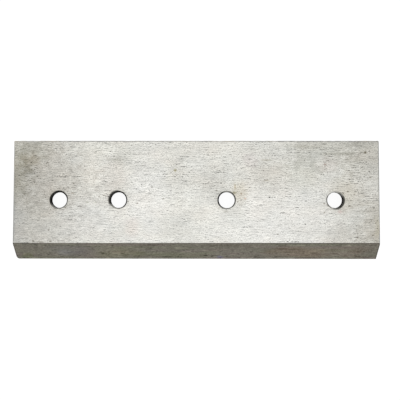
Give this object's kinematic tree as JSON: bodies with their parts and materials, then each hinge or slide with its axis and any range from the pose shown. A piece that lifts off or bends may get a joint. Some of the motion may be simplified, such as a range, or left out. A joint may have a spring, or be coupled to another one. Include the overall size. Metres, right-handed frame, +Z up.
{
  "type": "chipper shredder blade",
  "caption": "Flat steel knife for a wood chipper and shredder: a rectangular bar with one long side ground to a bevelled cutting edge, and a row of four bolt holes, countersunk at the back.",
  "frame": {"origin": "centre of the bounding box's underside: on the back face, midway along the length and across the width", "axes": "+X along the knife, towards the end with the sharp cutting corner; +Y from the cutting edge to the rear edge; +Z up through the thickness, from the back face to the front face"},
  "size_m": [0.2, 0.065, 0.008],
  "materials": {
    "ground_steel": "surface ground along its length, used, with faint stains, small pits and a darker bevel"
  },
  "bodies": {
    "root": {"chipper_blade": "ground_steel"}
  },
  "joints": []
}
